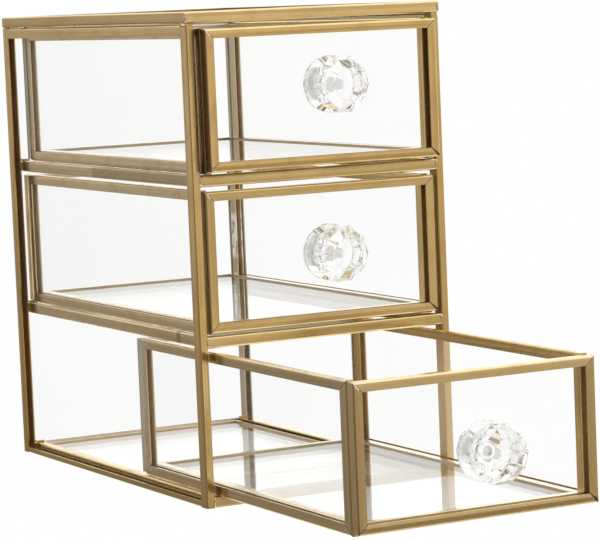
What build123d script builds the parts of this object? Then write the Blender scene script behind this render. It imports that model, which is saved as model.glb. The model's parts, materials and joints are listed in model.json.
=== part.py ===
from build123d import *
import os

os.makedirs("parts", exist_ok=True)

# Driving sizes, in millimetres. The origin is the middle of the footprint,
# the front of the box faces -Y and the drawers pull out along -Y.
drawer_width = 111.8
drawer_height = 60.0
cabinet_depth = 201.6
drawer_names = ("bottom", "middle", "top")
drawer_pulls = {"bottom": 121.4, "middle": 0.0, "top": 6.3}

# Folded brass strip: wall of the fold, and the sizes of each channel made from it
sheet = 0.6
fold_round = 0.6
edge_round = 0.9
mitre_gap = 0.1
joint_gap = 0.1
cabinet_came = 3.8
post_lip = 5.7
rail_height = 4.6
front_rail_height = 5.0
bottom_channel_height = 2.6
top_rail_height = 4.6
back_rail_height = 3.8
floor_came = 3.4
cabinet_floor_lip = 2.4
drawer_floor_lip = 4.0
top_came = 5.0
top_lip = 5.2
drawer_came = 5.0
side_came = 3.4
drawer_stile = 4.2
drawer_rail = 4.0
back_came = 3.4
back_stile = 2.6
back_rail = 2.6
side_stile = 5.6
side_rail = 4.5

# Slide rails that carry the drawers, and the stop block near their back end
slide_width = 3.8
slide_height = 5.2
stop_length = 2.0
stop_height = 0.9

# How far a drawer's side frames reach past its front and back frames
side_drop = 0.9
side_rise = 0.5

# Panes
glass = 2.0
glass_play = 0.35

# Clearances
side_gap = 1.5
run_gap = 0.3
front_gap = 1.2
head_gap = 2.1
stop_gap = 0.3
back_gap = 0.3
lid_seam = 0.5
front_post_gap = 1.2
seam_recess = 0.4
front_reveal = 0.3
floor_rise = 0.5

# Knob: clear, with a round flange, a waist and a faceted head, held by a screw
# through the pane
knob_lifts = {"bottom": -2.1, "middle": 0.8, "top": 4.4}
knob_facets = 10
foot_radius = 9.6
foot_thickness = 2.2
flange_radius = 12.2
flange_height = 5.0
flange_band = 1.6
waist_radius = 10.2
waist_height = 9.6
girdle_radius = 12.4
girdle_height = 15.0
girdle_band = 2.0
shoulder_radius = 10.8
shoulder_height = 20.6
table_radius = 7.2
knob_length = 23.4
screw_radius = 2.0
screw_fit = 0.15
screw_reach = 8.0
screw_tip_room = 0.8
screw_head_radius = 3.8
screw_head_height = 2.2
screw_head_round = 0.5
screw_slot_width = 1.0
screw_slot_depth = 1.0
pane_hole_radius = 2.6

# Derived sizes of the cabinet
cabinet_width = drawer_width + 2 * (side_gap + cabinet_came)
half_width = cabinet_width / 2
half_depth = cabinet_depth / 2
inner_half_width = half_width - cabinet_came
inner_half_depth = half_depth - cabinet_came
bay_pitch = front_rail_height + front_gap + drawer_height + head_gap
lid_bottom = bay_pitch * len(drawer_names)
side_top = lid_bottom - lid_seam
rail_half_run = half_depth - post_lip
post_middle = half_depth - post_lip / 2
side_middle = half_width - cabinet_came / 2
front_middle = half_depth - cabinet_came / 2

# Derived sizes of the drawers
drawer_back = inner_half_depth - back_gap
drawer_depth = drawer_back + half_depth + front_reveal
side_run = drawer_depth - drawer_came - back_came - 2 * joint_gap
side_height = drawer_height + side_drop + side_rise
drawer_inner_width = drawer_width - 2 * side_came
fold_inset = sheet + glass_play

LEFT, RIGHT = -1, 1


def keep(piece, name):
    """Label a finished piece and write it out under its own name."""
    piece.label = name
    export_step(piece, f"parts/{name}.step")


def framed_channels(base, width, height, stile, rail, depth, gap):
    """Four channel strips with mitred corners, folded around the edge of a pane."""
    u, v = width / 2, height / 2
    with BuildPart() as frame:
        with BuildSketch(base):
            for side in (-1, 1):
                Polygon(
                    (side * u, -v),
                    (side * u, v),
                    (side * (u - stile), v - rail),
                    (side * (u - stile), rail - v),
                    align=None,
                )
                Polygon(
                    (gap - u, side * v),
                    (u - gap, side * v),
                    (u - stile - gap, side * (v - rail)),
                    (stile + gap - u, side * (v - rail)),
                    align=None,
                )
        extrude(amount=depth)
        fillet(outer_edges(frame, base, u, v, depth), radius=edge_round)
        with BuildSketch(base.offset(sheet)):
            Rectangle(width - 2 * sheet, height - 2 * sheet)
        extrude(amount=depth - 2 * sheet, mode=Mode.SUBTRACT)
    return frame.part


def outer_edges(frame, base, u, v, depth):
    """The long edges around the outside of a frame, on both of its faces."""

    def on_rim(edge):
        spot = base.to_local_coords(edge.center())
        on_face = min(abs(spot.Z), abs(spot.Z - depth)) < joint_gap
        on_side = min(abs(abs(spot.X) - u), abs(abs(spot.Y) - v)) < joint_gap
        return on_face and on_side

    return frame.edges().filter_by(on_rim)


def channel(base, width, depth, length, corner=edge_round):
    """A straight U-channel along the base plane's normal, open toward its +Y."""
    with BuildPart() as strip:
        with BuildSketch(base) as section:
            Rectangle(width, depth)
            fillet(section.vertices().sort_by(Axis.Y)[:2], radius=corner)
            with Locations((0, sheet / 2)):
                Rectangle(width - 2 * sheet, depth - sheet, mode=Mode.SUBTRACT)
        extrude(amount=length)
    return strip.part


def pane(base, width, height):
    """A flat pane standing on the base plane."""
    with BuildPart() as sheet_glass:
        with BuildSketch(base):
            Rectangle(width, height)
        extrude(amount=glass)
    return sheet_glass.part


# Posts: channels at the four corners, webs to the front and back, each closed by
# a plug, set in from its faces, that the top frame is soldered to
for side, side_name in ((LEFT, "left"), (RIGHT, "right")):
    for end, end_name, post_top in (
        (-1, "front", lid_bottom - front_post_gap),
        (1, "back", side_top),
    ):
        foot = Plane(
            origin=(side * side_middle, end * post_middle, 0),
            x_dir=(-end, 0, 0),
            z_dir=(0, 0, 1),
        )
        with BuildPart() as post:
            add(channel(foot, cabinet_came, post_lip, post_top, fold_round))
            with BuildSketch(Plane.XY.offset(post_top)):
                with Locations((side * side_middle, end * post_middle)):
                    Rectangle(cabinet_came - 2 * seam_recess, post_lip - 2 * seam_recess)
            extrude(amount=lid_bottom - post_top)
        keep(post.part, f"{end_name}_{side_name}_post")

# Side panes: one to a side, held by the posts, by a channel under the top frame
# that opens downward and by a low channel along the floor
for side, side_name in ((LEFT, "left"), (RIGHT, "right")):
    start = Plane(
        origin=(side * side_middle, -rail_half_run, side_top - top_rail_height / 2),
        x_dir=(1, 0, 0),
        z_dir=(0, 1, 0),
    )
    with BuildPart() as side_top_rail:
        add(channel(start, cabinet_came, top_rail_height, 2 * rail_half_run))
        with BuildSketch(Plane.XY.offset(side_top)):
            with Locations((side * side_middle, 0)):
                Rectangle(cabinet_came - 2 * edge_round, 2 * rail_half_run)
        extrude(amount=lid_seam)
    keep(side_top_rail.part, f"{side_name}_top_rail")

    face = Plane(
        origin=(side * side_middle - glass / 2, 0, side_top / 2),
        x_dir=(0, 1, 0),
        z_dir=(1, 0, 0),
    )
    with BuildPart() as side_glass:
        add(pane(face, 2 * (half_depth - fold_inset), side_top - 2 * fold_inset))
    keep(side_glass.part, f"{side_name}_side_glass")

# Slide rails: channels inside the side panes, soldered to the posts, each with a
# stop block for the end of the drawer's side frame; the bottom one also has the
# side pane's low channel along its outside
rail_levels = ("bottom", "lower", "upper")
slide_half_length = inner_half_depth - joint_gap
stop_y = drawer_back - back_came - joint_gap + stop_gap + stop_length / 2
for side, side_name in ((LEFT, "left"), (RIGHT, "right")):
    slide_x = side * (inner_half_width - joint_gap - slide_width / 2)
    for level, level_name in enumerate(rail_levels):
        slide_top = level * bay_pitch + rail_height + front_gap - side_drop - run_gap
        height = min(slide_height, slide_top)
        start = Plane(
            origin=(slide_x, -slide_half_length, slide_top - height / 2),
            x_dir=(0, 0, -side),
            z_dir=(0, 1, 0),
        )
        low_start = Plane(
            origin=(side * side_middle, -rail_half_run, bottom_channel_height / 2),
            x_dir=(-1, 0, 0),
            z_dir=(0, 1, 0),
        )
        with BuildPart() as slide_rail:
            add(channel(start, height, slide_width, 2 * slide_half_length))
            if level == 0:
                add(
                    channel(
                        low_start,
                        cabinet_came,
                        bottom_channel_height,
                        2 * rail_half_run,
                        fold_round,
                    )
                )
            with BuildSketch(Plane.XY.offset(slide_top + joint_gap)):
                with Locations((slide_x, stop_y)):
                    Rectangle(slide_width, stop_length)
            extrude(amount=stop_height - joint_gap)
        keep(slide_rail.part, f"{side_name}_{level_name}_rail")

# Front rails: channels between the front posts with the web to the front; the
# lowest stands on the ground
for level, level_name in enumerate(rail_levels):
    height = front_rail_height if level else rail_height
    rail_top = level * bay_pitch + rail_height
    start = Plane(
        origin=(-inner_half_width, -front_middle, rail_top - height / 2),
        x_dir=(0, 0, -1),
        z_dir=(1, 0, 0),
    )
    with BuildPart() as front_rail:
        add(channel(start, height, cabinet_came, 2 * inner_half_width))
    keep(front_rail.part, f"front_{level_name}_rail")

# Back rails: one opens upward and one downward, holding the back pane
back_low = Plane(
    origin=(-inner_half_width, front_middle, back_rail_height / 2),
    x_dir=(0, 1, 0),
    z_dir=(1, 0, 0),
)
with BuildPart() as back_bottom_rail:
    add(channel(back_low, cabinet_came, back_rail_height, 2 * inner_half_width))
keep(back_bottom_rail.part, "back_bottom_rail")

back_high = Plane(
    origin=(-inner_half_width, front_middle, side_top - top_rail_height / 2),
    x_dir=(0, -1, 0),
    z_dir=(1, 0, 0),
)
with BuildPart() as back_top_rail:
    add(channel(back_high, cabinet_came, top_rail_height, 2 * inner_half_width))
keep(back_top_rail.part, "back_top_rail")

back_face = Plane(
    origin=(0, front_middle + glass / 2, side_top / 2),
    x_dir=(1, 0, 0),
    z_dir=(0, -1, 0),
)
with BuildPart() as back_glass:
    add(pane(back_face, 2 * (inner_half_width - glass_play), side_top - 2 * fold_inset))
keep(back_glass.part, "back_glass")

# Floor: a closed ring of channel lying between the slide rails, with its pane
floor_width = 2 * (inner_half_width - slide_width - 2 * joint_gap)
floor_depth = 2 * (inner_half_depth - joint_gap)
floor_set = (floor_came - glass) / 2
with BuildPart() as floor_frame:
    with BuildSketch():
        Rectangle(floor_width, floor_depth)
        Rectangle(
            floor_width - 2 * cabinet_floor_lip,
            floor_depth - 2 * cabinet_floor_lip,
            mode=Mode.SUBTRACT,
        )
    extrude(amount=floor_came)
    with BuildSketch(Plane.XY.offset(sheet)):
        Rectangle(floor_width - 2 * sheet, floor_depth - 2 * sheet)
    extrude(amount=floor_came - 2 * sheet, mode=Mode.SUBTRACT)
keep(floor_frame.part, "floor_frame")

with BuildPart() as floor_glass:
    add(
        pane(
            Plane.XY.offset(floor_set),
            floor_width - 2 * fold_inset,
            floor_depth - 2 * fold_inset,
        )
    )
keep(floor_glass.part, "floor_glass")

# Top: a mitred frame and its pane, standing on the posts' plugs
top_base = Plane.XY.offset(lid_bottom)
with BuildPart() as top_frame:
    add(
        framed_channels(
            top_base, cabinet_width, cabinet_depth, top_lip, top_lip, top_came, mitre_gap
        )
    )
keep(top_frame.part, "top_frame")

with BuildPart() as top_glass:
    add(
        pane(
            top_base.offset((top_came - glass) / 2),
            cabinet_width - 2 * fold_inset,
            cabinet_depth - 2 * fold_inset,
        )
    )
keep(top_glass.part, "top_glass")

# Drawers: front and back frames across the full width, side frames between
# them, a floor frame inside, a pane in each, and a knob screwed to the front
for level, drawer in enumerate(drawer_names):
    low = level * bay_pitch + rail_height + front_gap
    middle = low + drawer_height / 2
    front = -half_depth - front_reveal - drawer_pulls[drawer]
    back = front + drawer_depth
    centre = front + drawer_came + joint_gap + side_run / 2
    glass_set = (drawer_came - glass) / 2
    knob_middle = middle + knob_lifts[drawer]
    side_middle_z = middle + (side_rise - side_drop) / 2

    for end_name, face_y, stile, rail, came in (
        ("front", front + drawer_came, drawer_stile, drawer_rail, drawer_came),
        ("back", back, back_stile, back_rail, back_came),
    ):
        face = Plane(origin=(0, face_y, middle), x_dir=(1, 0, 0), z_dir=(0, -1, 0))
        with BuildPart() as end_frame:
            add(
                framed_channels(
                    face,
                    drawer_width,
                    drawer_height,
                    stile,
                    rail,
                    came,
                    mitre_gap,
                )
            )
        keep(end_frame.part, f"{drawer}_drawer_{end_name}_frame")

        with BuildPart() as end_glass:
            add(
                pane(
                    face.offset((came - glass) / 2),
                    drawer_width - 2 * fold_inset,
                    drawer_height - 2 * fold_inset,
                )
            )
            if end_name == "front":
                with BuildSketch(face.offset(glass_set)):
                    with Locations((0, knob_lifts[drawer])):
                        Circle(pane_hole_radius)
                extrude(amount=glass, mode=Mode.SUBTRACT)
        keep(end_glass.part, f"{drawer}_drawer_{end_name}_glass")

    for side, side_name in ((LEFT, "left"), (RIGHT, "right")):
        wall_x = side * (drawer_width - side_came) / 2 - side_came / 2
        face = Plane(origin=(wall_x, centre, side_middle_z), x_dir=(0, 1, 0), z_dir=(1, 0, 0))
        with BuildPart() as side_frame:
            add(
                framed_channels(
                    face,
                    side_run,
                    side_height,
                    side_stile,
                    side_rail,
                    side_came,
                    mitre_gap,
                )
            )
        keep(side_frame.part, f"{drawer}_drawer_{side_name}_frame")

        with BuildPart() as side_pane:
            add(
                pane(
                    face.offset((side_came - glass) / 2),
                    side_run - 2 * fold_inset,
                    side_height - 2 * fold_inset,
                )
            )
        keep(side_pane.part, f"{drawer}_drawer_{side_name}_glass")

    bed = Plane(origin=(0, centre, low + floor_rise))
    bed_width = drawer_inner_width - 2 * joint_gap
    with BuildPart() as drawer_floor_frame:
        add(
            framed_channels(
                bed,
                bed_width,
                side_run,
                drawer_floor_lip,
                drawer_floor_lip,
                floor_came,
                mitre_gap,
            )
        )
    keep(drawer_floor_frame.part, f"{drawer}_drawer_floor_frame")

    with BuildPart() as drawer_floor_glass:
        add(
            pane(
                bed.offset(floor_set),
                bed_width - 2 * fold_inset,
                side_run - 2 * fold_inset,
            )
        )
    keep(drawer_floor_glass.part, f"{drawer}_drawer_floor_glass")

    seat = Plane(origin=(0, front + glass_set, knob_middle), x_dir=(1, 0, 0), z_dir=(0, -1, 0))
    with BuildPart() as knob:
        with BuildSketch(seat):
            Circle(foot_radius)
        extrude(amount=foot_thickness)
        with BuildSketch(seat.offset(foot_thickness)):
            Circle(foot_radius)
        with BuildSketch(seat.offset(flange_height)):
            Circle(flange_radius)
        with BuildSketch(seat.offset(flange_height + flange_band)):
            Circle(flange_radius)
        with BuildSketch(seat.offset(waist_height)):
            Circle(waist_radius)
        loft(ruled=True)
        with BuildSketch(seat.offset(waist_height)):
            RegularPolygon(waist_radius, knob_facets)
        with BuildSketch(seat.offset(girdle_height)):
            RegularPolygon(girdle_radius, knob_facets)
        with BuildSketch(seat.offset(girdle_height + girdle_band)):
            RegularPolygon(girdle_radius, knob_facets)
        with BuildSketch(seat.offset(shoulder_height)):
            RegularPolygon(shoulder_radius, knob_facets)
        with BuildSketch(seat.offset(knob_length)):
            RegularPolygon(table_radius, knob_facets)
        loft(ruled=True)
        with BuildSketch(seat):
            Circle(screw_radius + screw_fit)
        extrude(amount=screw_reach + screw_tip_room, mode=Mode.SUBTRACT)
    keep(knob.part, f"{drawer}_drawer_knob")

    screw_seat = seat.offset(-glass)
    with BuildPart() as knob_screw:
        with BuildSketch(screw_seat.offset(-screw_head_height)):
            Circle(screw_head_radius)
        extrude(amount=screw_head_height)
        fillet(knob_screw.edges().filter_by(GeomType.CIRCLE).sort_by(Axis.Y)[-1], radius=screw_head_round)
        with BuildSketch(screw_seat):
            Circle(screw_radius)
        extrude(amount=glass + screw_reach)
        with BuildSketch(screw_seat.offset(-screw_head_height)):
            Rectangle(2 * screw_head_radius, screw_slot_width)
        extrude(amount=screw_slot_depth, mode=Mode.SUBTRACT)
    keep(knob_screw.part, f"{drawer}_drawer_knob_screw")
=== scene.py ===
import json
import math

import bpy
from mathutils import Matrix, Vector


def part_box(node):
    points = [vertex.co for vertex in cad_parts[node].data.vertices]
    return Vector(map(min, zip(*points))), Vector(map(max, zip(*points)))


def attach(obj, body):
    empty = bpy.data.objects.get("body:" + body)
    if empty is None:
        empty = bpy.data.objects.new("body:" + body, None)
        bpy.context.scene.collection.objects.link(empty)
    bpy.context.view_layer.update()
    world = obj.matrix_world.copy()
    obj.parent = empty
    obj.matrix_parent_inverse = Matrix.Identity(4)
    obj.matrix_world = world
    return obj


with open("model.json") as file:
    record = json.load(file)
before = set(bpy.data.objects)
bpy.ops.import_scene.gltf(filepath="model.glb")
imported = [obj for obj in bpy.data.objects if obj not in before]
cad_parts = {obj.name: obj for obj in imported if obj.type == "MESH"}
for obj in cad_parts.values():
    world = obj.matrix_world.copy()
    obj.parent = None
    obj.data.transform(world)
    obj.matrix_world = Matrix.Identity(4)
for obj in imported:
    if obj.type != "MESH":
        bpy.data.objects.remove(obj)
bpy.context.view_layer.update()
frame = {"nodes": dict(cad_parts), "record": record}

X, Y, Z = 0, 1, 2
DRAWERS = ("bottom", "middle", "top")
RAIL_LEVELS = ("bottom", "lower", "upper")


class Reading:
    """A value passed between shader nodes; arithmetic on it adds the maths nodes."""

    def __init__(self, bench, socket):
        self.bench = bench
        self.socket = socket

    def maths(self, operation, *values):
        return self.bench.put("ShaderNodeMath", {"operation": operation}, dict(enumerate(values)))

    def __add__(self, other):
        return self.maths("ADD", self, other)

    def __radd__(self, other):
        return self.maths("ADD", other, self)

    def __sub__(self, other):
        return self.maths("SUBTRACT", self, other)

    def __rsub__(self, other):
        return self.maths("SUBTRACT", other, self)

    def __mul__(self, other):
        return self.maths("MULTIPLY", self, other)

    def __rmul__(self, other):
        return self.maths("MULTIPLY", other, self)

    def __truediv__(self, other):
        return self.maths("DIVIDE", self, other)

    def __rtruediv__(self, other):
        return self.maths("DIVIDE", other, self)

    def __pow__(self, other):
        return self.maths("POWER", self, other)

    def __rpow__(self, other):
        return self.maths("POWER", other, self)

    def __abs__(self):
        return self.maths("ABSOLUTE", self)

    def under(self, other):
        """1 where this is the smaller, else 0."""
        return self.maths("LESS_THAN", self, other)

    def least(self, other):
        return self.maths("MINIMUM", self, other)

    def between(self, low, high):
        """0 at low, 1 at high, eased in between."""
        return self.bench.put(
            "ShaderNodeMapRange",
            {"interpolation_type": "SMOOTHSTEP"},
            {"Value": self, "From Min": low, "From Max": high},
        )


class Bench:
    """The node sheet that one material, or the room around the box, is laid out on."""

    def __init__(self, tree):
        self.tree = tree
        tree.nodes.clear()

    def put(self, kind, settings=None, sockets=None, out=0):
        """Add a node, set it up, feed its sockets and read one of its outputs."""
        node = self.tree.nodes.new(kind)
        for name, value in (settings or {}).items():
            setattr(node, name, value)
        for name, value in (sockets or {}).items():
            if isinstance(value, Reading):
                self.tree.links.new(value.socket, node.inputs[name])
            else:
                node.inputs[name].default_value = value
        return Reading(self, node.outputs[out]) if node.outputs else None

    def place(self):
        return self.put("ShaderNodeTexCoord", out="Object")

    def part_of(self, vector, axis):
        return self.put("ShaderNodeSeparateXYZ", {}, {"Vector": vector}, out=axis)

    def along(self, axis):
        """The place along one axis of the box, in metres."""
        return self.part_of(self.place(), axis)

    def agreement(self, first, second):
        """1 where two directions are the same, 0 where they are square to each other."""
        return self.put(
            "ShaderNodeVectorMath", {"operation": "DOT_PRODUCT"}, {0: first, 1: second}, out="Value"
        )

    def speckle(self, scale, detail=3.0, stretch=(1.0, 1.0, 1.0)):
        """Cloudy noise of so many spots to the metre, drawn out where stretch is small."""
        spread = self.put(
            "ShaderNodeVectorMath", {"operation": "MULTIPLY"}, {0: self.place(), 1: stretch}
        )
        return self.put(
            "ShaderNodeTexNoise", {}, {"Vector": spread, "Scale": scale, "Detail": detail}
        )

    def streaks(self, axis, scale):
        """Noise drawn out along one axis, as rolling leaves it on a strip."""
        stretch = [1.0, 1.0, 1.0]
        stretch[axis] = STREAK_STRETCH
        return self.speckle(scale, detail=4.0, stretch=stretch)

    def face(self):
        return self.put("ShaderNodeNewGeometry", out="True Normal")

    def leftward(self):
        """1 on faces that look to the left, else 0."""
        return self.part_of(self.face(), X).between(-0.5, -0.8)

    def blend(self, share, first, second):
        """One colour going over to another; 6, 7 and output 2 are the Mix node's colour sockets."""
        return self.put(
            "ShaderNodeMix", {"data_type": "RGBA"}, {0: share, 6: first, 7: second}, out=2
        )

    def mix(self, share, first, second):
        return self.put("ShaderNodeMixShader", {}, {0: share, 1: first, 2: second})

    def see_through(self, tint):
        return self.put("ShaderNodeBsdfTransparent", {}, {"Color": tint})

    def principled(self, **sockets):
        """The all-round shader; an underscore in a socket's name stands for a space."""
        named = {name.replace("_", " "): value for name, value in sockets.items()}
        return self.put("ShaderNodeBsdfPrincipled", {}, named)

    def bump(self, strength, distance, height):
        return self.put(
            "ShaderNodeBump", {}, {"Strength": strength, "Distance": distance, "Height": height}
        )

    def cover(self, shader):
        self.put("ShaderNodeOutputMaterial", {}, {"Surface": shader})


def new_material(name):
    material = bpy.data.materials.new(name)
    material.use_nodes = True
    return material, Bench(material.node_tree)


WHITE = (1.0, 1.0, 1.0, 1.0)
GOLD = {
    "clean": (0.97, 0.78, 0.42, 1.0),
    "rolled": (0.76, 0.585, 0.27, 1.0),
    "worn_and_shaded": (0.55, 0.40, 0.17, 1.0),
}
WARM_GOLD = {
    "clean": (0.96, 0.75, 0.375, 1.0),
    "rolled": (0.76, 0.57, 0.25, 1.0),
    "worn_and_shaded": (0.52, 0.36, 0.14, 1.0),
}
DEEP_GOLD = {
    "clean": (0.86, 0.65, 0.31, 1.0),
    "rolled": (0.64, 0.46, 0.19, 1.0),
    "worn_and_shaded": (0.46, 0.31, 0.11, 1.0),
}
BEIGE_GOLD = {
    "clean": (0.95, 0.80, 0.53, 1.0),
    "rolled": (0.74, 0.61, 0.38, 1.0),
    "worn_and_shaded": (0.50, 0.395, 0.22, 1.0),
}
BRIGHT_GOLD = {
    "clean": (1.0, 0.84, 0.51, 1.0),
    "rolled": (0.88, 0.71, 0.39, 1.0),
    "worn_and_shaded": (0.46, 0.345, 0.15, 1.0),
}
PALE_GOLD = {
    "clean": (0.96, 0.86, 0.70, 1.0),
    "rolled": (0.90, 0.77, 0.58, 1.0),
    "worn_and_shaded": (0.66, 0.54, 0.38, 1.0),
}
GREY_GOLD = {
    "clean": (0.80, 0.73, 0.60, 1.0),
    "rolled": (0.66, 0.59, 0.47, 1.0),
    "worn_and_shaded": (0.38, 0.33, 0.26, 1.0),
}
SILVERED = (0.80, 0.73, 0.57, 1.0)
SCUFFED = (1.0, 0.99, 0.97, 1.0)
SOLDER = (0.80, 0.70, 0.58, 1.0)
# Painted shade tones: the first for folds and hollows, the second for mitre lines, open mitres and faces
# beside posts
CREASE_SHADE_TONE = (0.22, 0.11, 0.03, 1.0)
SHADED = (0.13, 0.055, 0.012, 1.0)
# Pale matt tone: haze low on the front right post, and painted light on the inner right walls of the
# drawers' channels at the back
HAZE_AND_LIGHT_TONE = (0.86, 0.71, 0.47, 1.0)

# Rolled streaks: how many to the metre, how much they are drawn out along the strip, and how deep
BROAD_STREAKS = 420.0
FINE_STREAKS = 2600.0
STREAK_STRETCH = 0.012
STREAK_DEPTH = 0.00012

# Widths of the strips of each mitred frame in metres, across its first and second axis
LID_STRIPS = (0.0052, 0.0052)
CABINET_FLOOR_STRIPS = (0.0024, 0.0024)
DRAWER_FRONT_STRIPS = (0.0042, 0.0040)
DRAWER_SIDE_STRIPS = (0.0056, 0.0045)
DRAWER_BACK_STRIPS = (0.0026, 0.0026)
DRAWER_FLOOR_STRIPS = (0.0040, 0.0040)

# Places in metres where a finish begins and ends, the widths of its edges, and its depths
HAZE_TOP = 0.066
HAZE_EDGE = 0.006
# Runs along the upper and lower left rails that get painted shadow
UPPER_RAIL_SHADOW = (-0.1, 0.012)
LOWER_RAIL_SHADOW = (-0.0740, -0.0695)
SHARP_EDGE = 0.0005
POST_SHADE_END = -0.1
POST_SHADE_EDGE = 0.005
SCUFF_HEIGHTS = (0.084, 0.110)
SCUFF_START = 0.080
SCUFF_EDGE = 0.004
SILVER_BACK = (0.012, 0.006)
SILVER_FOOT = (0.0060, 0.0052)
SILVER_FLOOR_EDGE = (0.0490, 0.0505)
# The soft edge of the painted light on a channel's inner wall
WALL_LIGHT_EDGE = 0.002
# The soft top edge of the painted shade on a frame's foot
FOOT_SHADE_EDGE = 0.0006
# How far ambient occlusion reaches when it finds the folds that get painted shade
CREASE_SHADE_REACH = 0.007
ARRIS_RADIUS = 0.0003
LUMP_DEPTH = 0.0002


def brass_finish(
    bench, gold, streak, fine_streak, crown, beside=False, shade_depth=0.7, dull=0.0, **marks
):
    """Rolled brass strip: lengthways bands, dull patches, pits, and painted shade in its folds.

    The folds, found by ambient occlusion, are darkened with painted shade to the share shade_depth.
    With beside, pieces close by cast painted shade on the strip too, not its own folds alone. Each
    mark is the share of the surface that is worn and painted with shade, silvered, scuffed, soldered,
    painted with shade in its folds, painted with shade, or hazed and painted light.
    """
    patches = bench.speckle(75.0).between(0.45, 0.68)
    pits = bench.speckle(1500.0, detail=2.0).between(0.66, 0.74)
    # Painted shade: ambient occlusion darkens folds and hollows, and with beside also the places near
    # other pieces
    open_air = bench.put(
        "ShaderNodeAmbientOcclusion",
        {"only_local": not beside, "samples": 8},
        {"Distance": CREASE_SHADE_REACH},
        out="AO",
    )
    fold = 1.0 - open_air.between(0.15, 0.95)
    colour = bench.blend(streak.between(0.32, 0.68), gold["rolled"], gold["clean"])
    colour = bench.blend((patches * 0.25 + pits * 0.5).least(1.0), colour, gold["worn_and_shaded"])
    rough = 0.12 + dull + fine_streak * 0.10 + patches * 0.10 + fold * 0.25
    marks["folded"] = fold * shade_depth
    for mark, tone, roughened in (
        ("worn_and_shaded", gold["worn_and_shaded"], 0.0),
        ("silvered", SILVERED, 0.0),
        ("scuffed", SCUFFED, 0.6),
        ("soldered", SOLDER, 0.12),
        ("folded", CREASE_SHADE_TONE, 0.0),
        ("shaded", SHADED, 0.0),
        ("hazed_and_lit", HAZE_AND_LIGHT_TONE, 0.45),
    ):
        if mark in marks:
            colour = bench.blend(marks[mark], colour, tone)
            if roughened:
                rough = rough + marks[mark] * roughened
    relief = bench.bump(1.0, STREAK_DEPTH, streak + fine_streak * 0.15 + crown * 0.5)
    bench.cover(bench.principled(Base_Color=colour, Metallic=1.0, Roughness=rough, Normal=relief))


def brass_strip(node, gold, axis, pale_left=False, shadow_run=None, haze_below=None, **ways):
    """Brass for a straight strip that runs along one axis, each face a little crowned.

    With pale_left, its left faces are silvered; a shadow run goes from one place to another
    along the strip and is darkened to a share with painted shadow. Below the height haze_below it has
    gone pale and matt.
    """
    material, bench = new_material(f"brass_{node}")
    if haze_below is not None:
        mottled = 0.6 + bench.speckle(BROAD_STREAKS, stretch=(1.0, 1.0, 0.3)) * 0.4
        ways["hazed_and_lit"] = bench.along(Z).between(haze_below, haze_below - HAZE_EDGE) * mottled
    # Painted shadow: the rail is darker along this run
    if shadow_run is not None:
        begin, end, share = shadow_run
        place = bench.along(axis)
        begun, not_ended = place.between(begin, begin + SHARP_EDGE), place.between(end, end - SHARP_EDGE)
        ways["worn_and_shaded"] = begun * not_ended * share
    if pale_left:
        ways["silvered"] = bench.leftward()
    low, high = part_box(node)
    crown = 0.0
    for side in (X, Y, Z):
        if side != axis:
            offset = (bench.along(side) - low[side]) / (high[side] - low[side]) - 0.5
            crown = crown - offset * offset * 4.0
    streak, fine_streak = (bench.streaks(axis, scale) for scale in (BROAD_STREAKS, FINE_STREAKS))
    brass_finish(bench, gold, streak, fine_streak, crown, **ways)
    return material


def scuff(bench, bottom, top):
    """Pale scratches at a frame's back end, between two heights."""
    height = bench.along(Z)
    inside = height.between(bottom, bottom + SCUFF_EDGE) * height.between(top, top - SCUFF_EDGE)
    inside = inside * bench.along(Y).between(SCUFF_START, SCUFF_START + SCUFF_EDGE)
    return inside * bench.speckle(380.0, detail=5.0, stretch=(1.0, 1.0, 0.5)).between(0.38, 0.50)


def silvering(bench, runs):
    """Each run greys a frame from one place, where it begins, to another along an axis."""
    bright = 1.0
    for axis, begin, full in runs:
        bright = bright * (1.0 - bench.along(axis).between(begin, full))
    return (1.0 - bright) * 0.9


def wear_and_shading(bench, upright, foot_shade_top, wear):
    """How far a frame is rubbed dull and darkened with painted shade; wear gives the shares of the
    uprights, which are rubbed dull, and of the foot and the left faces, which get painted shade.
    """
    stiles, foot_shade, left = wear
    # Painted shade: the foot, below its top height, and the left faces are darkened
    painted_foot_shade = foot_shade * bench.along(Z).between(foot_shade_top, foot_shade_top - FOOT_SHADE_EDGE)
    uneven = 0.75 + bench.speckle(700.0) * 0.5
    leftward = bench.leftward()
    rubbed_and_shaded = (upright * stiles + painted_foot_shade) * (1.0 - leftward) + leftward * left
    return (rubbed_and_shaded * uneven).least(0.95)


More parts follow.
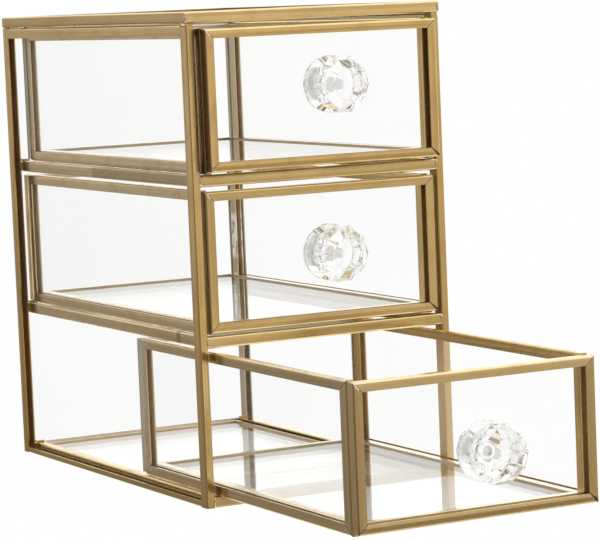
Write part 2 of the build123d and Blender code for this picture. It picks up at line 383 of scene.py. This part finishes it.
def brass_frame(
    node, gold, across, widths, silver=(), scuffed=None, wear=None, open_mitre=False,
    shade_left=False, pale_within=None, **ways
):
    """Brass for a mitred frame: the streaks turn at the mitres, which are soldered.

    Silver lists the runs that are greyed, scuffed gives the heights of the scratches, and wear the
    shares of uprights rubbed dull, of the foot given painted shade and of left faces given painted
    shade. A painted dark gap stands for the shade in an open mitre at the lower right corner. With
    shade_left, left faces get painted shade at the front, where the frame stands close beside a post.
    Behind the place pale_within along Y, the inside of the channel's right wall is painted pale and
    matt, painted light where the channel lies in shade.
    """
    material, bench = new_material(f"brass_{node}")
    low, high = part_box(node)
    inset = []
    for axis, width in zip(across, widths):
        middle, half = (low[axis] + high[axis]) / 2, (high[axis] - low[axis]) / 2
        inset.append((half - abs(bench.along(axis) - middle)) / width)
    upright = inset[0].under(inset[1])
    streak, fine_streak = (
        bench.streaks(across[0], scale) * (1.0 - upright) + bench.streaks(across[1], scale) * upright
        for scale in (BROAD_STREAKS, FINE_STREAKS)
    )
    offset = inset[0].least(inset[1]) - 0.5
    off_mitre = abs(inset[0] - inset[1])
    solder_patches = bench.speckle(900.0).between(0.48, 0.60)
    ways["soldered"] = (1.0 - off_mitre.between(0.05, 0.7)) * solder_patches * 0.7
    # A dark line along each mitre; painted shade follows for the gap of an open mitre and for left faces
    # beside a post
    shaded = (1.0 - off_mitre.between(0.02, 0.10)) * 0.55
    if open_mitre:
        right_end, bottom_end = high[across[0]], low[across[1]]
        stile, rail = widths
        at_right = bench.along(across[0]).between(right_end - 2 * stile, right_end - stile)
        at_bottom = bench.along(across[1]).between(bottom_end + 2 * rail, bottom_end + rail)
        gape = 0.06 + (1.0 - inset[0]) * 0.22
        shaded = shaded + at_right * at_bottom * (off_mitre - gape).between(0.05, -0.05) * 0.9
    if shade_left:
        beside_post = 1.0 - bench.along(Y).between(POST_SHADE_END, POST_SHADE_END + POST_SHADE_EDGE)
        shaded = shaded + bench.leftward() * beside_post * 0.85
    ways["shaded"] = shaded.least(0.9)
    if silver:
        ways["silvered"] = silvering(bench, silver)
    if scuffed is not None:
        ways["scuffed"] = scuff(bench, *scuffed)
    # Painted light: the inside of the right wall at the back is paler and matt
    if pale_within is not None:
        middle = (low[X] + high[X]) / 2
        right_wall = bench.leftward() * bench.along(X).between(middle, middle + SHARP_EDGE)
        at_back = bench.along(Y).between(pale_within - WALL_LIGHT_EDGE, pale_within)
        ways["hazed_and_lit"] = right_wall * at_back
    # Uprights rubbed dull, and painted shade on the foot and on left faces
    if wear is not None:
        ways["worn_and_shaded"] = wear_and_shading(bench, upright, low[Z] + widths[1] * 0.72, wear)
    brass_finish(bench, gold, streak, fine_streak, offset * offset * -4.0, **ways)
    return material


def strip_finishes():
    """The gold, the long axis, the wear and the painted shade and shadow of each straight strip."""
    strips = {
        "front_left_post": (WARM_GOLD, Z, {"beside": True}),
        "front_right_post": (WARM_GOLD, Z, {"beside": True, "haze_below": HAZE_TOP}),
        "back_left_post": (DEEP_GOLD, Z, {"shade_depth": 0.5}),
        "back_right_post": (GREY_GOLD, Z, {"shade_depth": 0.1, "dull": 0.3}),
        "back_bottom_rail": (PALE_GOLD, X, {"shade_depth": 0.2}),
        "back_top_rail": (PALE_GOLD, X, {"shade_depth": 0.2, "dull": 0.2}),
        "left_top_rail": (GOLD, Y, {}),
        "right_top_rail": (GOLD, Y, {"pale_left": True, "shade_depth": 0.2}),
    }
    for level in RAIL_LEVELS:
        strips[f"front_{level}_rail"] = (GOLD, X, {"beside": True})
        for side in ("left", "right"):
            strips[f"{side}_{level}_rail"] = (GOLD, Y, {"shade_depth": 0.9})
    for level, run, share in (("upper", UPPER_RAIL_SHADOW, 0.7), ("lower", LOWER_RAIL_SHADOW, 0.9)):
        ways = {"shade_depth": 0.9, "shadow_run": (*run, share)}
        strips[f"left_{level}_rail"] = (BEIGE_GOLD, Y, ways)
    return strips


def cabinet_frame_finishes():
    """The gold, the plane, the strip widths, the wear and the painted shade of the lid's and the floor's
    frame.
    """
    return {
        # The lid's wear share darkens its left faces with painted shade
        "top_frame": (GOLD, (X, Y), LID_STRIPS, {"beside": True, "wear": (0.0, 0.0, 0.45)}),
        "floor_frame": (PALE_GOLD, (X, Y), CABINET_FLOOR_STRIPS, {"shade_depth": 0.3}),
    }


def drawer_frame_finishes(drawer):
    """The gold, the plane, the strip widths, the wear, the painted shade and the painted light of one
    drawer's five frames.
    """
    low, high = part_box(f"{drawer}_drawer_right_frame")
    back_begin, back_full = (high[Y] - ahead for ahead in SILVER_BACK)
    back_end = (Y, back_begin, back_full)
    # Each front gets a painted shade depth in its folds, then shares of uprights rubbed dull, of painted
    # shade on the foot and on left faces
    front_gold, front_shade_depth, front_wear_and_shade = {
        "bottom": (BRIGHT_GOLD, 0.15, (0.55, 0.9, 0.0)),
        "middle": (GOLD, 0.4, (0.15, 0.2, 0.0)),
        "top": (WARM_GOLD, 0.4, (0.1, 0.5, 0.0)),
    }[drawer]
    front = {"beside": True, "shade_depth": front_shade_depth, "wear": front_wear_and_shade, "open_mitre": True}
    left = {"silver": (back_end,), "shade_depth": 0.2, "pale_within": back_full}
    right = {"shade_depth": 0.3, "pale_within": back_full}
    floor = {"silver": (back_end,), "shade_depth": 0.2}
    right_gold = DEEP_GOLD if drawer == "bottom" else GOLD
    if drawer != "bottom":
        right["silver"] = (back_end, (Z, *(low[Z] + above for above in SILVER_FOOT)))
        floor["silver"] = (back_end, (X, *SILVER_FLOOR_EDGE))
    if drawer == "middle":
        right["scuffed"] = SCUFF_HEIGHTS
    if drawer == "top":
        front["shade_left"] = left["shade_left"] = True
    return {
        f"{drawer}_drawer_front_frame": (front_gold, (X, Z), DRAWER_FRONT_STRIPS, front),
        f"{drawer}_drawer_left_frame": (BEIGE_GOLD, (Y, Z), DRAWER_SIDE_STRIPS, left),
        f"{drawer}_drawer_right_frame": (right_gold, (Y, Z), DRAWER_SIDE_STRIPS, right),
        f"{drawer}_drawer_back_frame": (
            GREY_GOLD, (X, Z), DRAWER_BACK_STRIPS, {"shade_depth": 0.1, "dull": 0.3}
        ),
        f"{drawer}_drawer_floor_frame": (PALE_GOLD, (X, Y), DRAWER_FLOOR_STRIPS, floor),
    }


def finish_brass():
    """Give every brass node its strip or frame finish."""
    chosen = {}
    for node, (gold, axis, ways) in strip_finishes().items():
        chosen[node] = brass_strip(node, gold, axis, **ways)
    frames = cabinet_frame_finishes()
    for drawer in DRAWERS:
        frames.update(drawer_frame_finishes(drawer))
    for node, (gold, across, widths, ways) in frames.items():
        chosen[node] = brass_frame(node, gold, across, widths, **ways)
    return chosen


def clear_pane(name, sheen, falling_off, tint):
    """Thin clear pane: sees straight through, mirrors more at a glancing angle."""
    material, bench = new_material(name)
    facing = bench.put("ShaderNodeLayerWeight", {}, {"Blend": 0.5}, out="Facing")
    mirror_share = facing**falling_off * sheen + 0.004
    mirror = bench.put("ShaderNodeBsdfGlossy", {}, {"Color": WHITE, "Roughness": 0.0})
    bench.cover(bench.mix(mirror_share, bench.see_through(tint), mirror))
    return material


def crystal(node):
    """Clear cast knob; the arrises between its facets carry painted grey lines, standing in for the dark
    edges that refraction shows there.
    """
    material, bench = new_material(f"crystal_{node}")
    softened = bench.put("ShaderNodeBevel", {"samples": 6}, {"Radius": ARRIS_RADIUS})
    # Painted shade: grey lines where the bevelled normal turns away from the facet
    arris_shade = 1.0 - bench.agreement(bench.face(), softened).between(0.93, 0.998)
    glass = bench.principled(Base_Color=WHITE, Roughness=0.0, IOR=1.50, Transmission_Weight=1.0)
    pale = bench.mix(0.08, glass, bench.see_through(WHITE))
    bench.cover(bench.mix(arris_shade * 0.55, pale, bench.see_through((0.30, 0.30, 0.31, 1.0))))
    return material


def screw_plating():
    """Pale plating with faint wear."""
    material, bench = new_material("screw_steel")
    wear = bench.speckle(900.0)
    colour = bench.blend(wear, WHITE, (0.92, 0.92, 0.92, 1.0))
    bench.cover(bench.principled(Base_Color=colour, Metallic=0.3, Roughness=0.5 + wear * 0.1))
    return material


def dress_nodes():
    """Put its finish on every node of the frame."""
    finishes = finish_brass()
    wall_pane = clear_pane("clear_pane", 0.8, 7.0, (0.998, 0.999, 0.998, 1.0))
    floor_pane = clear_pane("floor_pane", 0.88, 4.0, (0.986, 0.987, 0.977, 1.0))
    plating = screw_plating()
    for row in frame["record"]["subparts"]:
        name, kind = row["node"], row["material_slot"]
        if kind == "crystal":
            finishes[name] = crystal(name)
        elif kind == "screw":
            finishes[name] = plating
        elif kind == "pane":
            finishes[name] = floor_pane if name.endswith("floor_glass") else wall_pane
        node = frame["nodes"][name]
        node.data.materials.clear()
        node.data.materials.append(finishes[name])


def solder_metal():
    """Lumpy silver-gold solder with soot in places."""
    material, bench = new_material("solder")
    lumps, soot = bench.speckle(1200.0), bench.speckle(500.0).between(0.58, 0.70)
    colour = bench.blend(lumps.between(0.35, 0.65), (0.80, 0.62, 0.42, 1.0), (0.95, 0.84, 0.68, 1.0))
    colour = bench.blend(soot * 0.6, colour, (0.22, 0.15, 0.09, 1.0))
    relief = bench.bump(0.8, LUMP_DEPTH, lumps)
    rough = 0.28 + soot * 0.2
    bench.cover(bench.principled(Base_Color=colour, Metallic=1.0, Roughness=rough, Normal=relief))
    return material


MM_PER_METRE = 1000.0
SOLDER_METAL = solder_metal()

# Solder beads in mm: their radius at each kind of joint, and the stretches of the lid's side seams
LID_BEAD = 0.6
SEAM_BEAD = 0.32
POST_HEAD_BEAD = 0.55
RAIL_BEAD = 0.5
DRAWER_BEAD = 0.34
SEAM_RUNS = ((82.0, 74.0), (55.0, -94.0))


def run_solder(name, body, start, end, radius, lumpy=0.35):
    """A lumpy bead of solder, tapered at its ends, run along a joint between two places in mm."""
    start, end, radius = (v / MM_PER_METRE for v in (Vector(start), Vector(end), radius))
    run = end - start
    side = run.orthogonal().normalized()
    other = run.normalized().cross(side)
    ring_gap, around = 0.0006, 8
    rings = max(6, int(run.length / ring_gap))
    points = []
    for i in range(rings + 1):
        t = i / rings
        swell = 1.0 + lumpy * math.sin(i * 1.7 + start.x * 9000) * math.cos(i * 0.61 + start.z * 7000)
        taper = 0.15 + 0.85 * min(1.0, 6.0 * min(t, 1 - t))
        for j in range(around):
            turn = 2 * math.pi * j / around
            uneven = 1.0 + lumpy * 0.5 * math.sin(3 * turn + i * 0.9)
            outward = side * math.cos(turn) + other * math.sin(turn)
            points.append(start + run * t + outward * radius * swell * taper * uneven)
    faces = [
        (i * around + j, i * around + (j + 1) % around,
         (i + 1) * around + (j + 1) % around, (i + 1) * around + j)
        for i in range(rings) for j in range(around)
    ]
    faces += [tuple(range(around))[::-1], tuple(rings * around + j for j in range(around))]
    mesh = bpy.data.meshes.new(name)
    mesh.from_pydata(points, [], faces)
    mesh.shade_smooth()
    mesh.materials.append(SOLDER_METAL)
    bead = bpy.data.objects.new(name, mesh)
    bpy.context.scene.collection.objects.link(bead)
    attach(bead, body)


def mm_box(node):
    return [[MM_PER_METRE * v for v in corner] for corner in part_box(node)]


def solder_cabinet():
    """Solder at the lid's front corners, along its side seams, at post heads and rail ends."""
    low, high = mm_box("top_frame")
    sunk, short, rail_sunk = 0.12, 0.2, 0.15
    for side, x, inward in (("left", low[X], sunk), ("right", high[X], -sunk)):
        edge = x + inward
        corner = (edge, low[Y] + sunk)
        run_solder(
            f"solder_lid_{side}", "cabinet",
            (*corner, low[Z] + short), (*corner, high[Z] - short), LID_BEAD,
        )
        rail_top = mm_box(f"{side}_top_rail")[1][Z]
        seam = (rail_top + low[Z]) / 2
        for part, (back, front) in enumerate(SEAM_RUNS):
            run_solder(
                f"solder_lid_seam_{side}_{part}", "cabinet",
                (edge, back, seam), (edge, front, seam), SEAM_BEAD, lumpy=0.12,
            )
        run_solder(
            f"solder_post_head_{side}", "cabinet",
            (edge, low[Y] + 0.3, seam - 0.3), (edge, low[Y] + 5.0, seam - 0.5), POST_HEAD_BEAD,
        )
        for level in RAIL_LEVELS:
            rail_low, rail_high = mm_box(f"front_{level}_rail")
            end = rail_low[X] if side == "left" else rail_high[X]
            ahead = rail_low[Y] + rail_sunk
            run_solder(
                f"solder_front_{level}_{side}", "cabinet",
                (end, ahead, rail_low[Z] + short), (end, ahead, rail_high[Z] - short), RAIL_BEAD,
            )


def solder_drawer(body):
    """Solder on the corners of a drawer's front, and a smear on its upper left mitre."""
    low, high = mm_box(f"{body}_front_frame")
    sunk = 0.25
    over_edge, over_mitre = Vector((0, 2.6, 0)), Vector((2.6, 0, -2.8))
    for side, x, inward in (("left", low[X], sunk), ("right", high[X], -sunk)):
        for end, z, upward in (("top", high[Z], -sunk), ("bottom", low[Z], sunk)):
            edge = Vector((x + inward, low[Y] + sunk, z + upward))
            run_solder(f"solder_{body}_{end}_{side}", body, edge, edge + over_edge, DRAWER_BEAD)
    smear = Vector((low[X] + 0.3, low[Y] + 0.12, high[Z] - 0.4))
    run_solder(f"solder_{body}_smear", body, smear, smear + over_mitre, DRAWER_BEAD)


def lay_floor():
    """A wide pale floor lit evenly to white."""
    mesh = bpy.data.meshes.new("floor")
    reach, clearance = 60.0, 0.0004
    mesh.from_pydata(
        [(-reach, -reach, 0), (reach, -reach, 0), (reach, reach, 0), (-reach, reach, 0)],
        [],
        [(0, 1, 2, 3)],
    )
    floor = bpy.data.objects.new("floor", mesh)
    bpy.context.scene.collection.objects.link(floor)
    floor.location.z = -clearance
    floor.visible_glossy = False
    material, bench = new_material("white_floor")
    bench.cover(bench.put("ShaderNodeEmission", {}, {"Color": WHITE, "Strength": 1.0}))
    mesh.materials.append(material)


def hang_lights():
    """A white tent, open to a dim warm room in front and on the left at eye level.

    Each opening has the way it lies, how far it spreads, and its tones below and at eye level.
    What is seen through a knob is white all round.
    """
    world = bpy.data.worlds.new("studio")
    bpy.context.scene.world = world
    world.use_nodes = True
    bench = Bench(world.node_tree)
    heading = bench.put("ShaderNodeTexCoord", out="Generated")
    height = bench.part_of(heading, Z)
    eye_level = 1.0 - abs(height + 0.06).between(0.18, 0.62)
    light = (1.2, 1.2, 1.2, 1.0)
    for (x, y), spread, low_tone, high_tone in (
        ((0.47, -0.88), (0.0, 0.7), (0.46, 0.39, 0.30, 1.0), (0.68, 0.59, 0.48, 1.0)),
        ((-0.9, -0.44), (0.2, 0.8), (0.16, 0.13, 0.10, 1.0), (0.24, 0.20, 0.16, 1.0)),
        ((-0.60, 0.80), (0.60, 0.92), (0.22, 0.185, 0.14, 1.0), (0.52, 0.47, 0.42, 1.0)),
    ):
        toward = bench.agreement(heading, Vector((x, y, 0.0)).normalized())
        tone = bench.blend(height.between(-0.22, 0.04), low_tone, high_tone)
        light = bench.blend(eye_level * toward.between(*spread), light, tone)
    passed_glass = bench.put("ShaderNodeLightPath", out="Transmission Depth")
    light = bench.blend(passed_glass.least(1.0), light, WHITE)
    sky = bench.put("ShaderNodeBackground", {}, {"Color": light, "Strength": 1.0})
    bench.put("ShaderNodeOutputWorld", {}, {"Surface": sky})


def set_camera():
    """Long lens from the front left, a little above the box, as the photo was taken."""
    place = (-0.57516, -1.16502, 0.2154)
    yaw, pitch, roll = (math.radians(degrees) for degrees in (27.879, -5.581, -2.407))
    focal_px, photo_width_px, sensor_mm = 2826.4, 600.0, 36.0
    ahead = Vector(
        (math.sin(yaw) * math.cos(pitch), math.cos(yaw) * math.cos(pitch), math.sin(pitch))
    )
    level = Vector((math.cos(yaw), -math.sin(yaw), 0))
    upright = level.cross(ahead)
    right = level * math.cos(roll) + upright * math.sin(roll)
    up = upright * math.cos(roll) - level * math.sin(roll)
    lens = bpy.data.cameras.new("camera")
    lens.sensor_fit = "HORIZONTAL"
    lens.sensor_width = sensor_mm
    lens.lens = focal_px * sensor_mm / photo_width_px
    lens.clip_start, lens.clip_end = 0.05, 200.0
    camera = bpy.data.objects.new("camera", lens)
    bpy.context.scene.collection.objects.link(camera)
    turn = Matrix((right, up, -ahead)).transposed()
    camera.matrix_world = Matrix.Translation(place) @ turn.to_4x4()
    bpy.context.scene.camera = camera


dress_nodes()
solder_cabinet()
for drawer in DRAWERS:
    solder_drawer(f"{drawer}_drawer")
lay_floor()
hang_lights()
set_camera()
bpy.context.scene.view_settings.view_transform = "Standard"
bpy.context.scene.cycles.transparent_max_bounces = 40
